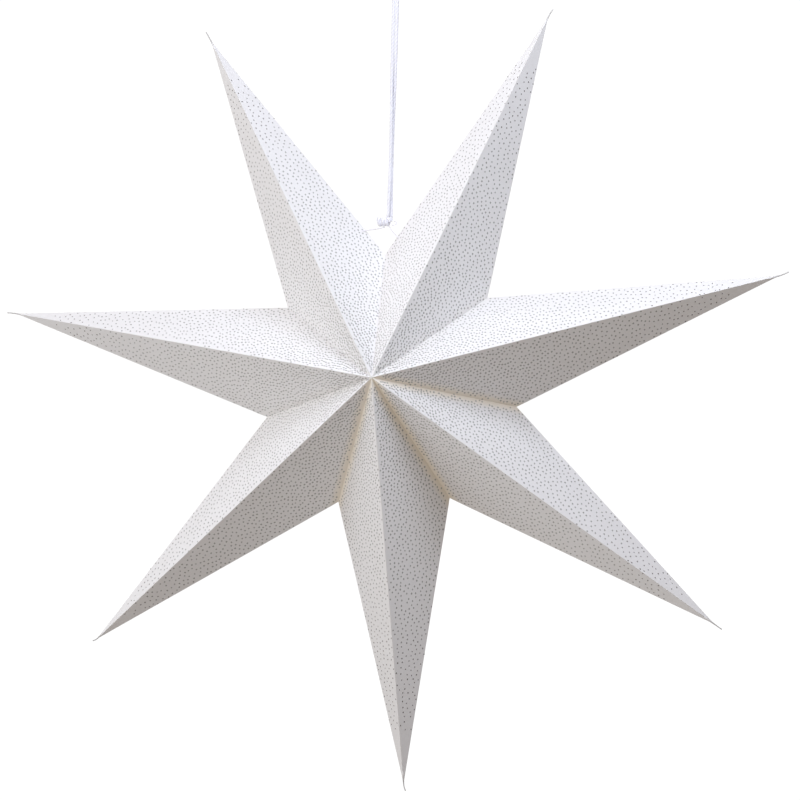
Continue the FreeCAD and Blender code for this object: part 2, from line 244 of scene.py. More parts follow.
def fibre_group():
    """Paper grain: a mottled tone, and the height of felted fibres."""
    name = "Card fibres"
    if name in bpy.data.node_groups:
        return bpy.data.node_groups[name]
    tree = bpy.data.node_groups.new(name, "ShaderNodeTree")
    socket(tree, "Place", "NodeSocketVector")
    socket(tree, "Fibre", "NodeSocketFloat")
    socket(tree, "Cloud", "NodeSocketFloat")
    socket(tree, "Tone", "NodeSocketFloat", True)
    socket(tree, "Height", "NodeSocketFloat", True)
    inside = node(tree, "NodeGroupInput")
    outside = node(tree, "NodeGroupOutput")
    fibre = node(tree, "ShaderNodeTexNoise", noise_dimensions="3D")
    fibre.inputs["Detail"].default_value = 5
    fibre.inputs["Roughness"].default_value = 0.62
    cloud = node(tree, "ShaderNodeTexNoise", noise_dimensions="3D")
    cloud.inputs["Detail"].default_value = 3
    for texture, scale in ((fibre, "Fibre"), (cloud, "Cloud")):
        tree.links.new(inside.outputs["Place"], texture.inputs["Vector"])
        tree.links.new(inside.outputs[scale], texture.inputs["Scale"])
    half_cloud = math_node(tree, "MULTIPLY", cloud.outputs[0], 0.55)
    half_fibre = math_node(tree, "MULTIPLY", fibre.outputs[0], 0.45)
    tree.links.new(math_node(tree, "ADD", half_cloud, half_fibre), outside.inputs["Tone"])
    tree.links.new(fibre.outputs[0], outside.inputs["Height"])
    return tree


def band_group():
    """1 at a crease and fading to 0 over a width."""
    name = "Crease band"
    if name in bpy.data.node_groups:
        return bpy.data.node_groups[name]
    tree = bpy.data.node_groups.new(name, "ShaderNodeTree")
    socket(tree, "Distance", "NodeSocketFloat")
    socket(tree, "Width", "NodeSocketFloat")
    socket(tree, "Band", "NodeSocketFloat", True)
    inside = node(tree, "NodeGroupInput")
    outside = node(tree, "NodeGroupOutput")
    ramp = node(tree, "ShaderNodeMapRange", interpolation_type="SMOOTHERSTEP")
    tree.links.new(inside.outputs["Distance"], ramp.inputs["Value"])
    tree.links.new(inside.outputs["Width"], ramp.inputs["From Max"])
    ramp.inputs["From Min"].default_value = 0
    ramp.inputs["To Min"].default_value = 1
    ramp.inputs["To Max"].default_value = 0
    tree.links.new(ramp.outputs[0], outside.inputs["Band"])
    return tree


def new_material(name, roughness):
    """A matt material, its node tree and its shader."""
    material = bpy.data.materials.new(name)
    material.use_nodes = True
    tree = material.node_tree
    shader = tree.nodes["Principled BSDF"]
    shader.inputs["Roughness"].default_value = roughness
    shader.inputs["Specular IOR Level"].default_value = 0.3
    return material, tree, shader


def place_fibres(tree, fibre, cloud, bump, distance):
    """The fibre group read in object coordinates, with its bump."""
    place = node(tree, "ShaderNodeTexCoord")
    fibres = node(tree, "ShaderNodeGroup", node_tree=fibre_group())
    tree.links.new(place.outputs["Object"], fibres.inputs["Place"])
    fibres.inputs["Fibre"].default_value = fibre
    fibres.inputs["Cloud"].default_value = cloud
    relief = node(tree, "ShaderNodeBump")
    relief.inputs["Strength"].default_value = bump
    relief.inputs["Distance"].default_value = distance
    tree.links.new(fibres.outputs["Height"], relief.inputs["Height"])
    return fibres, relief


def crease_band(tree, attribute, width):
    """The crease group read on a distance that the mesh carries."""
    reader = node(tree, "ShaderNodeAttribute", attribute_name=attribute)
    band = node(tree, "ShaderNodeGroup", node_tree=band_group())
    tree.links.new(reader.outputs["Fac"], band.inputs["Distance"])
    band.inputs["Width"].default_value = width
    return band.outputs["Band"]


def with_alpha(rgb):
    """A colour as a colour socket takes it."""
    return (*rgb, 1.0)


# darker along the card's outer sides, and lighter along its ridges
OUTLINE_DARKER = (0.70, 0.69, 0.67, 1)
RIDGE_LIGHTER = (0.93, 0.925, 0.91, 1)
GLUE_STAIN = (0.66, 0.64, 0.59, 1)
# painted shade: the greys of a drawn-out tail stand for the shade on its thin pinched card
TAIL_SHADE_DARK = (0.42, 0.41, 0.41, 1)
TAIL_SHADE_LIGHT = (0.66, 0.65, 0.65, 1)


def card_material():
    """White card with felted fibres, a painted warm glow in the low valleys for light bounced between
    the panels, darker along its outer sides and lighter along its ridges.
    """
    name = "Pricked card"
    if name in bpy.data.materials:
        return bpy.data.materials[name]
    look = bpy.context.scene.star_card
    material, tree, shader = new_material(name, 0.82)
    fibres, relief = place_fibres(tree, 1100.0, 42.0, 0.28, 0.00025)
    base = mix_colour(
        tree, fibres.outputs["Tone"], with_alpha(look.shade), with_alpha(look.white)
    )
    # painted light: a warm glow along the valleys, as strong as the panel's painted_glow share, for
    # light bounced between the panels
    painted_glow = node(tree, "ShaderNodeAttribute", attribute_name="painted_glow")
    scored = math_node(
        tree,
        "MULTIPLY",
        crease_band(tree, "from_valley", look.glow_width),
        painted_glow.outputs["Fac"],
    )
    warm = mix_colour(tree, scored, base, with_alpha(look.crease))
    # darker in a thin band along the outer sides, then lighter in a thin band along the ridges
    outline_share = math_node(tree, "MULTIPLY", crease_band(tree, "from_outline", 0.9 * MM), 0.35)
    outline_toned = mix_colour(tree, outline_share, warm, OUTLINE_DARKER)
    ridge_share = math_node(tree, "MULTIPLY", crease_band(tree, "from_ridge", 0.8 * MM), 0.5)
    tone = mix_colour(tree, ridge_share, outline_toned, RIDGE_LIGHTER)
    tree.links.new(tone, shader.inputs["Base Color"])
    rough = node(tree, "ShaderNodeMapRange")
    rough.inputs["To Min"].default_value = 0.9
    rough.inputs["To Max"].default_value = 0.72
    tree.links.new(fibres.outputs["Tone"], rough.inputs["Value"])
    tree.links.new(rough.outputs[0], shader.inputs["Roughness"])
    tree.links.new(relief.outputs[0], shader.inputs["Normal"])
    return material


def strip_material():
    """Plain card of the glued strips inside, a little darker with dried glue."""
    name = "Glued card"
    if name in bpy.data.materials:
        return bpy.data.materials[name]
    look = bpy.context.scene.star_card
    material, tree, shader = new_material(name, 0.85)
    fibres, relief = place_fibres(tree, 900.0, 60.0, 0.3, 0.0003)
    tone = mix_colour(tree, fibres.outputs["Tone"], GLUE_STAIN, with_alpha(look.white))
    tree.links.new(tone, shader.inputs["Base Color"])
    tree.links.new(relief.outputs[0], shader.inputs["Normal"])
    return material


def tail_material():
    """The drawn-out tip, whose pinched card is greyed towards its end as painted shade."""
    name = "Pinched card"
    if name in bpy.data.materials:
        return bpy.data.materials[name]
    look = bpy.context.scene.star_card
    material, tree, shader = new_material(name, 0.85)
    fibres, relief = place_fibres(tree, 1400.0, 200.0, 0.4, 0.0002)
    along = node(tree, "ShaderNodeAttribute", attribute_name="along")
    # painted shade: grey towards the tail's end, mottled by the fibres
    pinched = mix_colour(tree, fibres.outputs["Tone"], TAIL_SHADE_DARK, TAIL_SHADE_LIGHT)
    tone = mix_colour(tree, along.outputs["Fac"], with_alpha(look.shade), pinched)
    tree.links.new(tone, shader.inputs["Base Color"])
    tree.links.new(relief.outputs[0], shader.inputs["Normal"])
    return material


def prick_shade_material():
    """The dark middle of a pin prick, painted shade for the unlit inside of the star seen through it.
    """
    name = "Prick"
    if name in bpy.data.materials:
        return bpy.data.materials[name]
    look = bpy.context.scene.star_pricks
    material, tree, shader = new_material(name, 0.95)
    place = node(tree, "ShaderNodeTexCoord")
    vary = node(tree, "ShaderNodeTexNoise", noise_dimensions="3D")
    vary.inputs["Scale"].default_value = 260.0
    tree.links.new(place.outputs["Object"], vary.inputs["Vector"])
    dark = with_alpha([c * 0.55 for c in look.colour])
    light = with_alpha([min(1.0, c * 1.7) for c in look.colour])
    tree.links.new(mix_colour(tree, vary.outputs[0], dark, light), shader.inputs["Base Color"])
    return material


def string_material(name, light, dark, sheen=0.25):
    """Twisted yarn: darker between the plies by the piece's own ply attribute, a painted shade in the
    grooves, with loose fibres over them.
    """
    if name in bpy.data.materials:
        return bpy.data.materials[name]
    material, tree, shader = new_material(name, 0.78)
    shader.inputs["Sheen Weight"].default_value = sheen
    ply_shade = node(tree, "ShaderNodeAttribute", attribute_name="ply")
    place = node(tree, "ShaderNodeTexCoord")
    fuzz = node(tree, "ShaderNodeTexNoise", noise_dimensions="3D")
    fuzz.inputs["Scale"].default_value = 2600.0
    fuzz.inputs["Detail"].default_value = 4
    tree.links.new(place.outputs["Object"], fuzz.inputs["Vector"])
    # painted shade: the dark colour fills the grooves between the plies
    yarn = mix_colour(tree, ply_shade.outputs["Fac"], with_alpha(dark), with_alpha(light))
    speck = math_node(tree, "MULTIPLY", fuzz.outputs[0], 0.3)
    tree.links.new(mix_colour(tree, speck, yarn, with_alpha(dark)), shader.inputs["Base Color"])
    relief = node(tree, "ShaderNodeBump")
    relief.inputs["Strength"].default_value = 0.5
    relief.inputs["Distance"].default_value = 0.0002
    tree.links.new(fuzz.outputs[0], relief.inputs["Height"])
    tree.links.new(relief.outputs[0], shader.inputs["Normal"])
    return material


# ---- mesh helpers ----


def new_piece(name, vertices, faces, material, attributes=None, smooth_faces=False):
    """A mesh piece at the origin, with float attributes on its points."""
    mesh = bpy.data.meshes.new(name)
    mesh.from_pydata([tuple(v) for v in vertices], [], faces)
    mesh.update()
    for attribute, values in (attributes or {}).items():
        layer = mesh.attributes.new(attribute, "FLOAT", "POINT")
        layer.data.foreach_set("value", values)
    mesh.polygons.foreach_set("use_smooth", [smooth_faces] * len(mesh.polygons))
    if material is not None:
        mesh.materials.append(material)
    piece = bpy.data.objects.new(name, mesh)
    bpy.context.scene.collection.objects.link(piece)
    return piece


def grid_faces(grid):
    """Four-sided faces between rows of points that are numbered row by row."""
    width = len(grid[0])
    firsts = [row * width + column for row in range(len(grid) - 1) for column in range(width - 1)]
    return [(a, a + 1, a + 1 + width, a + width) for a in firsts]


def tube_faces(rings, sides):
    """The faces of a closed tube whose points are numbered ring by ring."""
    faces = []
    for ring in range(rings - 1):
        for corner in range(sides):
            a = ring * sides + corner
            b = ring * sides + (corner + 1) % sides
            faces.append((a, b, b + sides, a + sides))
    last = (rings - 1) * sides
    faces.append(tuple(reversed(range(sides))))
    faces.append(tuple(range(last, last + sides)))
    return faces


def finish_piece(piece, body, replaced=()):
    """Lets a piece ride on its body, instead of the plain nodes it replaces."""
    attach(piece, body)
    if replaced:
        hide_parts(*replaced)


# ---- card panels ----

# the low valleys face this way, and a warm glow is painted into their card for the light that gathers
# between their panels
GLOW_SIDE = Vector((0.5, 0, -0.87))
STRONGEST_GLOW = 0.8


class Panel:
    """One triangle of card in its own flat frame: X along the ridge, Y across, Z outwards."""

    def __init__(self, ray, face, side):
        s = sizes()
        self.ray, self.face, self.side = ray, face, side
        self.body = f"ray_{ray}_{face}_{side}"
        apex = front_apex() if face == "front" else back_apex()
        other = back_apex() if face == "front" else front_apex()
        tip_point = tip(ray)
        valley_point = valley(ray - 1) if side == "left" else valley(ray)
        self.origin = apex
        self.x_axis = (tip_point - apex).normalized()
        across = valley_point - apex
        self.y_axis = (across - self.x_axis * across.dot(self.x_axis)).normalized()
        self.outwards = self.x_axis.cross(self.y_axis)
        if self.outwards.dot(other - apex) > 0:
            self.outwards = -self.outwards
        self.ridge = (tip_point - apex).length
        self.valley = across.length
        self.outline = (valley_point - tip_point).length
        self.apex_angle = self.x_axis.angle(across)
        self.tip_angle = math.asin(self.valley / self.outline * math.sin(self.apex_angle))
        corner = math.pi - self.apex_angle - self.tip_angle
        gap = s.gap
        run = self.valley - gap * (1 + math.cos(corner)) / math.sin(corner)
        sine, cosine = math.sin(self.apex_angle), math.cos(self.apex_angle)
        self.corners = (
            Vector(((gap + gap * cosine) / sine, gap)),
            Vector((self.ridge - gap * (1 + math.cos(self.tip_angle)) / math.sin(self.tip_angle), gap)),
            Vector((run * cosine + gap * sine, run * sine - gap * cosine)),
        )
        # a number of its own, so that no two panels have the same bow and pricks
        self.number = (ray * 4 + (face == "back") * 2 + (side == "right")) * 1.7
        # how strongly the painted glow of bounced light shows in this panel's valley
        towards = (valley_point - middle()).normalized()
        self.painted_glow = STRONGEST_GLOW * smooth(towards.dot(GLOW_SIDE), -0.5, 1.1)

    def from_valley(self, x, y):
        """Distance from the panel's valley side."""
        return x * math.sin(self.apex_angle) - y * math.cos(self.apex_angle)

    def from_outline(self, x, y):
        """Distance from the panel's side on the star's outline."""
        return (self.ridge - x) * math.sin(self.tip_angle) - y * math.cos(self.tip_angle)

    def out(self, x, y, lift=0.0):
        """A place on the panel, lifted off its middle."""
        return self.origin + self.x_axis * x + self.y_axis * y + self.outwards * lift

    def bow(self, x, y):
        """How far the card swells or dips here. It lies flat at its creases and strips."""
        calm = (
            smooth(y, 4 * MM, 26 * MM)
            * smooth(self.from_valley(x, y), 12 * MM, 42 * MM)
            * smooth(self.from_outline(x, y), 8 * MM, 26 * MM)
        )
        wave = noise.noise(Vector((x * 14 + self.number, y * 22, self.number * 3)))
        return bpy.context.scene.star_card.swell * calm * (0.35 + 0.9 * wave)

    def outer_lift(self, x, y):
        """Height of the outer face over the middle of the card."""
        s = sizes()
        scored = s.card / 2 / math.tan(s.folded_valley)
        return s.card / 2 * min(1.0, max(0.05, self.from_valley(x, y) / scored))

    def inner_lift(self, y):
        """Height of the inner face over the middle of the card."""
        s = sizes()
        scored = s.card / 2 / math.tan(s.folded_ridge)
        return -s.card / 2 * min(1.0, max(0.05, y / scored))


GRID_ROWS, GRID_COLUMNS = 22, 30
# how far across a panel its last row of quads lies; triangles close the corner past it
LAST_ROW = 0.97
# width of the strip along the rim that the pricks keep out of
RIM_STRIP = 1.5
# where the pricks begin beside a ridge, and where they are as close as anywhere
RIDGE_STRIP = (0.55, 0.9)


def panel_grid(panel):
    """Flat points of a panel in rows from its ridge to its valley corner."""
    s = sizes()
    apex, tip_corner, valley_corner = panel.corners
    height = valley_corner.y - apex.y
    ridge_score = s.card / 2 / math.tan(s.folded_ridge) / height
    reach = (tip_corner - apex).x * math.sin(panel.apex_angle)
    valley_score = s.card / 2 / math.tan(s.folded_valley) / reach
    row_places = [0.0, *(strip * MM / height for strip in RIDGE_STRIP), ridge_score * 0.5, ridge_score]
    step = (LAST_ROW - ridge_score) / GRID_ROWS
    row_places += [ridge_score + step * i for i in range(1, GRID_ROWS + 1)]
    rim = RIM_STRIP * MM / (tip_corner - apex).x / math.sin(panel.tip_angle)
    grid = []
    for v in row_places:
        room = 1 - v
        # the scored strip narrows with the room that is left in the row
        first = min(valley_score, room * 0.4)
        step = (room - first) / GRID_COLUMNS
        places = [0.0, first * 0.5, first]
        places += [first + step * j for j in range(1, GRID_COLUMNS)]
        places += [room - min(rim, step / 2), room]
        grid.append([apex + (tip_corner - apex) * t + (valley_corner - apex) * v for t in places])
    return grid, valley_corner


def card_panel(panel):
    """A closed sheet of card, thinned where it is scored and slightly bowed."""
    grid, corner = panel_grid(panel)
    s = sizes()
    flat = [point for row in grid for point in row] + [corner]
    count, width = len(flat), len(grid[0])
    mitre = s.card / 2 / math.tan(s.open_ridge) - s.gap
    vertices, from_valley, from_ridge, from_outline = [], [], [], []
    for outer in (True, False):
        for number, point in enumerate(flat):
            x, y = point
            lift = panel.outer_lift(x, y) if outer else panel.inner_lift(y)
            if outer and number < width:
                y -= mitre
            vertices.append(panel.out(x, y, lift + panel.bow(x, y)))
            from_valley.append(panel.from_valley(x, y))
            from_ridge.append(max(0.0, y))
            from_outline.append(panel.from_outline(x, y))
    faces = grid_faces(grid)
    last = (len(grid) - 1) * width
    faces += [(last + column, last + column + 1, count - 1) for column in range(width - 1)]
    rim = list(range(width))
    rim += [row * width + width - 1 for row in range(1, len(grid))]
    rim += [count - 1]
    rim += [row * width for row in range(len(grid) - 1, 0, -1)]
    under = [tuple(count + i for i in reversed(face)) for face in faces]
    walls = [
        (rim[(i + 1) % len(rim)], rim[i], count + rim[i], count + rim[(i + 1) % len(rim)])
        for i in range(len(rim))
    ]
    turned = panel.x_axis.cross(panel.y_axis).dot(panel.outwards) < 0
    shell = faces + under + walls
    if turned:
        shell = [tuple(reversed(face)) for face in shell]
    return new_piece(
        panel.body + "_card",
        vertices,
        shell,
        card_material(),
        {
            "from_valley": from_valley,
            "from_ridge": from_ridge,
            "from_outline": from_outline,
            "painted_glow": [panel.painted_glow] * len(vertices),
        },
    )


def all_panels():
    """The two front and two back panels of every ray."""
    for ray in range(1, sizes().rays + 1):
        for face in ("front", "back"):
            for side in ("left", "right"):
                yield Panel(ray, face, side)


# ---- pin pricks, scattered by Geometry Nodes ----


# points tried on a square metre, enough to leave no room for one more prick
TRIED_POINTS = 4000000.0
# the smallest and the largest prick, as shares of the usual size
PRICK_SIZES = (0.85, 1.1)


def attribute_node(tree, name, kind="FLOAT"):
    """What a named attribute of the mesh holds."""
    made = node(tree, "GeometryNodeInputNamedAttribute", data_type=kind)
    made.inputs["Name"].default_value = name
    return made.outputs["Attribute"]


def prick_tree():
    """Scatters pricks over a face, thinned by its prick_share attribute; each is a closed cone whose
    top is painted dark as the shade in a hole.
    """
    name = "Pin pricks"
    if name in bpy.data.node_groups:
        return bpy.data.node_groups[name]
    tree = bpy.data.node_groups.new(name, "GeometryNodeTree")
    socket(tree, "Card", "NodeSocketGeometry")
    for size in ("Spacing", "Radius", "Lip", "Height"):
        socket(tree, size, "NodeSocketFloat")
    socket(tree, "Seed", "NodeSocketInt")
    socket(tree, "Rim", "NodeSocketMaterial")
    socket(tree, "Hole", "NodeSocketMaterial")
    socket(tree, "Pricks", "NodeSocketGeometry", True)
    link = tree.links.new
    inside = node(tree, "NodeGroupInput").outputs
    outside = node(tree, "NodeGroupOutput").inputs

    scatter = node(tree, "GeometryNodeDistributePointsOnFaces", distribute_method="POISSON")
    scatter.inputs["Density Max"].default_value = TRIED_POINTS
    link(inside["Card"], scatter.inputs["Mesh"])
    link(inside["Spacing"], scatter.inputs["Distance Min"])
    link(attribute_node(tree, "prick_share"), scatter.inputs["Density Factor"])
    link(inside["Seed"], scatter.inputs["Seed"])
    move = node(tree, "GeometryNodeSetPosition")
    link(scatter.outputs["Points"], move.inputs["Geometry"])
    link(attribute_node(tree, "true_place", "FLOAT_VECTOR"), move.inputs["Position"])

    cone = node(tree, "GeometryNodeMeshCone", fill_type="NGON")
    cone.inputs["Vertices"].default_value = 6
    link(inside["Radius"], cone.inputs["Radius Top"])
    link(math_node(tree, "ADD", inside["Radius"], inside["Lip"]), cone.inputs["Radius Bottom"])
    link(inside["Height"], cone.inputs["Depth"])
    # the cone's closed top carries the painted shade of a hole
    mark = node(tree, "GeometryNodeStoreNamedAttribute", data_type="BOOLEAN", domain="FACE")
    mark.inputs["Name"].default_value = "open_middle"
    link(cone.outputs["Mesh"], mark.inputs["Geometry"])
    link(cone.outputs["Top"], mark.inputs["Value"])

    turn = node(tree, "FunctionNodeAlignRotationToVector", axis="Z")
    link(attribute_node(tree, "outwards", "FLOAT_VECTOR"), turn.inputs["Vector"])
    vary = node(tree, "FunctionNodeRandomValue", data_type="FLOAT")
    vary.inputs[2].default_value, vary.inputs[3].default_value = PRICK_SIZES
    link(inside["Seed"], vary.inputs["Seed"])
    place = node(tree, "GeometryNodeInstanceOnPoints")
    link(move.outputs["Geometry"], place.inputs["Points"])
    link(mark.outputs["Geometry"], place.inputs["Instance"])
    link(turn.outputs["Rotation"], place.inputs["Rotation"])
    link(vary.outputs[1], place.inputs["Scale"])

    real = node(tree, "GeometryNodeRealizeInstances")
    link(place.outputs["Instances"], real.inputs["Geometry"])
    rim = node(tree, "GeometryNodeSetMaterial")
    link(real.outputs["Geometry"], rim.inputs["Geometry"])
    link(inside["Rim"], rim.inputs["Material"])
    hole = node(tree, "GeometryNodeSetMaterial")
    link(rim.outputs["Geometry"], hole.inputs["Geometry"])
    link(attribute_node(tree, "open_middle", "BOOLEAN"), hole.inputs["Selection"])
    link(inside["Hole"], hole.inputs["Material"])
    link(hole.outputs["Geometry"], outside["Pricks"])
    return tree


def bake_modifier(piece, modifier):
    """The modifier's result as a plain mesh on the same object."""
    graph = bpy.context.evaluated_depsgraph_get()
    mesh = bpy.data.meshes.new_from_object(piece.evaluated_get(graph))
    piece.modifiers.remove(modifier)
    old = piece.data
    piece.data = mesh
    bpy.data.meshes.remove(old)


def prick_share(panel, x, y):
    """Where pricks are made: up to the ridges, but not in the rims, the tips or a valley with painted
    glow.
    """
    bare = panel.painted_glow * MM
    share = 1 - smooth(x / panel.ridge, 0.86, 0.90)
    share *= smooth(panel.from_valley(x, y), 0.5 * MM + bare, 0.9 * MM + 1.9 * bare)
    share *= smooth(y, RIDGE_STRIP[0] * MM, RIDGE_STRIP[1] * MM)
    return share * smooth(panel.from_outline(x, y), 0.9 * MM, 1.5 * MM)


def packed(panel, x, y):
    """A place on a shrunken panel, seen from the front, on which the pricks are evenly spaced.

    The square root turns no corner of the pattern, and only spreads it towards the tip.
    """
    even = bpy.context.scene.star_pricks.even
    place = panel.out(x, y) - middle()
    along = (tip(panel.ray) - middle()).normalized()
    across = along.cross(Vector((0, 1, 0)))
    spot = 2 * even * cmath.sqrt(1 + complex(place.dot(along), place.dot(across)) / even)
    return Vector((spot.real, spot.imag, 0))


def facing(panel, x, y):
    """Outward direction of the bowed card."""
    step = 0.5 * MM
    slope_x = (panel.bow(x + step, y) - panel.bow(x - step, y)) / (2 * step)
    slope_y = (panel.bow(x, y + step) - panel.bow(x, y - step)) / (2 * step)
    return (panel.outwards - panel.x_axis * slope_x - panel.y_axis * slope_y).normalized()


def pricked_face(panel):
    """The pricks of a panel's outer face, scattered on a shrunken copy of it and moved back."""
    look = bpy.context.scene.star_pricks
    grid, corner = panel_grid(panel)
    flat = [point for row in grid for point in row] + [corner]
    shrunken = [packed(panel, p.x, p.y) for p in flat]
    shares = {"prick_share": [prick_share(panel, p.x, p.y) for p in flat]}
    piece = new_piece(panel.body + "_pricks", shrunken, grid_faces(grid), None, shares)
    places, directions = [], []
    for p in flat:
        lift = panel.outer_lift(p.x, p.y) + panel.bow(p.x, p.y)
        places.extend(panel.out(p.x, p.y, lift))
        directions.extend(facing(panel, p.x, p.y))
    for name, values in (("true_place", places), ("outwards", directions)):
        layer = piece.data.attributes.new(name, "FLOAT_VECTOR", "POINT")
        layer.data.foreach_set("vector", values)
    tree = prick_tree()
    modifier = piece.modifiers.new("Pricks", "NODES")
    modifier.node_group = tree
    values = {
        "Spacing": look.spacing,
        "Radius": look.radius,
        "Lip": look.lip,
        "Height": look.height,
        "Seed": look.seed + int(panel.number * 10),
        "Rim": card_material(),
        "Hole": prick_shade_material(),
    }
    for item in tree.interface.items_tree:
        if item.item_type == "SOCKET" and item.in_out == "INPUT" and item.name in values:
            modifier[item.identifier] = values[item.name]
    bake_modifier(piece, modifier)
    if not piece.data.polygons:
        raise RuntimeError(f"no pricks on {panel.body}")
    return piece


# ---- drawn-out tips ----


def cross_directions(points, number):
    """Two directions across a path at one of its points."""
    before = points[max(0, number - 1)]
    after = points[min(len(points) - 1, number + 1)]
    along = (after - before).normalized()
    side = along.cross(Vector((0, 1, 0))).normalized()
    return side, along.cross(side)


# how far each ray's tail reaches past its tip, and how far its end bends anticlockwise
TAILS = ((8, -1.1), (8, 0.9), (7, 0.2), (6, 1.2), (4, -1.0), (8, 0.6), (9, 0.3))
# where a tail begins on its ridge, before the tip
TAIL_START = -9.0
TAIL_WIDTH, TAIL_NARROWING, TAIL_FLATNESS = 1.5, 0.65, 0.84
TAIL_STEPS, TAIL_SIDES = 16, 6


def card_tail(panel):
    """The pinched, slightly curled end of a ray."""
    reach, curl = (size * MM for size in TAILS[panel.ray - 1])
    start = TAIL_START * MM
    outwards = (tip(panel.ray) - middle()).normalized()
    aside = outwards.cross(Vector((0, 1, 0)))
    base = panel.out(panel.ridge, 0)
    points = []
    for step in range(TAIL_STEPS + 1):
        along = start + (reach - start) * step / TAIL_STEPS
        past = max(0.0, along)
        bend = aside * curl * (past / reach) ** 2
        points.append(base + panel.x_axis * min(0.0, along) + outwards * past + bend)
    vertices, pinched = [], []
    for number, point in enumerate(points):
        side, up = cross_directions(points, number)
        t = number / TAIL_STEPS
        radius = (TAIL_WIDTH - TAIL_NARROWING * smooth(t, 0.1, 0.8)) * MM / 2
        radius *= 0.3 + 0.7 * smooth(t, 0, 0.15)
        for corner in range(TAIL_SIDES):
            angle = 2 * math.pi * corner / TAIL_SIDES
            across = side * math.cos(angle) + up * math.sin(angle) * TAIL_FLATNESS
            vertices.append(point + across * radius)
            # how much of the tail's painted shade this ring gets
            pinched.append(smooth(t, 0.15, 0.6))
    name = f"ray_{panel.ray}_tail"
    faces = tube_faces(len(points), TAIL_SIDES)
    return new_piece(name, vertices, faces, tail_material(), {"along": pinched}, True)


# ---- string, knot and ties ----


def spline_points(name, points, step):
    """Points read from the NURBS spline through a route, evenly spaced."""
    curve = bpy.data.curves.new(name, "CURVE")
    curve.dimensions = "3D"
    curve.resolution_u = 24
    spline = curve.splines.new("NURBS")
    spline.points.add(len(points) - 1)
    for place, point in zip(spline.points, points):
        place.co = (point[0], point[1], point[2], 1)
    spline.order_u = 3
    spline.use_endpoint_u = True
    holder = bpy.data.objects.new(name, curve)
    bpy.context.scene.collection.objects.link(holder)
    bpy.context.view_layer.update()
    graph = bpy.context.evaluated_depsgraph_get()
    mesh = bpy.data.meshes.new_from_object(holder.evaluated_get(graph))
    line = [v.co.copy() for v in mesh.vertices]
    bpy.data.objects.remove(holder)
    bpy.data.curves.remove(curve)
    bpy.data.meshes.remove(mesh)
    spaced = [line[0]]
    carry = 0.0
    for first, second in zip(line, line[1:]):
        run = (second - first).length
        while carry + run >= step:
            share = (step - carry) / run
            first = first.lerp(second, share)
            spaced.append(first)
            run = (second - first).length
            carry = 0.0
        carry += run
    if (spaced[-1] - line[-1]).length > step * 0.3:
        spaced.append(line[-1])
    else:
        spaced[-1] = line[-1]
    return spaced


def yarn(name, points, thickness, lay, material, plies=3, ring=12, groove=0.16):
    """A closed tube of twisted plies that follows a path."""
    side = (points[1] - points[0]).normalized().orthogonal().normalized()
    vertices, depths = [], []
    travelled = 0.0
    for number, point in enumerate(points):
        before = points[max(0, number - 1)]
        after = points[min(len(points) - 1, number + 1)]
        now = (after - before).normalized()
        side = (side - now * side.dot(now)).normalized()
        up = now.cross(side)
        travelled += (point - before).length
        turn = 2 * math.pi * travelled / lay
        for corner in range(ring):
            angle = 2 * math.pi * corner / ring
            bulge = abs(math.cos(plies / 2 * (angle - turn)))
            radius = thickness / 2 * (1 - groove * (1 - bulge))
            ring_point = side * math.cos(angle) + up * math.sin(angle)
            vertices.append(point + ring_point * radius)
            depths.append(bulge)
    faces = tube_faces(len(points), ring)
    return new_piece(name, vertices, faces, material, {"ply": depths}, True)


# half the distance between the strands, and how far below the hook they end and gather
STRAND_SIDE = 1.4
STRING_FOOT = 203.293
GATHER = 24.0
# the loop's middle below the hook's top, and its radius
HOOK_MIDDLE = 4.0
HOOK_TURN = 6.12
# how far the pair of strands has turned about itself at each height, down to the knot
STRAND_TURNS = ((40, 0), (75, 12), (105, 40), (135, 68), (160, 78), (182, 62), (STRING_FOOT, 38))


def string_route():
    """The doubled string: up one strand, over the hook and down the other."""
    right = []
    for height, degrees in reversed(STRAND_TURNS):
        turn = math.radians(degrees)
        right.append((STRAND_SIDE * math.cos(turn), STRAND_SIDE * math.sin(turn), -height))
    right.append((STRAND_SIDE, 0, -GATHER))
    over = []
    for degrees in (0, 60, 120, 180):
        angle = math.radians(degrees)
        over.append((HOOK_TURN * math.cos(angle), 0, HOOK_TURN * math.sin(angle) - HOOK_MIDDLE))
    left = [(-x, -y, z) for x, y, z in reversed(right)]
    return [Vector(point) * MM for point in right + over + left]


def hanging_yarn():
    """The doubled string, and the path it follows."""
    look = bpy.context.scene.star_string
    path = spline_points("string route", string_route(), 0.8 * MM)
    material = string_material("String yarn", look.colour, look.groove)
    return yarn("string", path, look.thickness, look.lay, material), path


# the knot's windings: middle, first winding, number, radius and distance apart
KNOT_MIDDLE = Vector((-4.5, 0, -207.293))
KNOT_START = -4.5
KNOT_TURNS, KNOT_RADIUS, KNOT_PITCH = 3.4, 2.1, 2.75
KNOT_STEPS = 150


def knot_turns():
    """The string wound round itself beside its two strands."""
    look = bpy.context.scene.star_string
    material = string_material("Knot yarn", look.colour, look.groove)
    path = []
    for step in range(KNOT_STEPS + 1):
        t = step / KNOT_STEPS
        angle = 2 * math.pi * KNOT_TURNS * t + 0.6
        # both ends of the winding are drawn in, and the rest varies a little
        drawn_in = 1 - 0.45 * smooth(t, 0.95, 1.0) - 0.35 * (1 - smooth(t, 0.0, 0.06))
        wide = KNOT_RADIUS * drawn_in * (1 + 0.04 * math.sin(5.1 * t + 1.0))
        along = KNOT_START + KNOT_PITCH * KNOT_TURNS * t
        winding = Vector((along, wide * math.cos(angle), wide * math.sin(angle)))
        path.append((KNOT_MIDDLE + winding) * MM)
    return yarn("knot_turns", path, 3.0 * MM, 8.0 * MM, material, ring=14, groove=0.1)


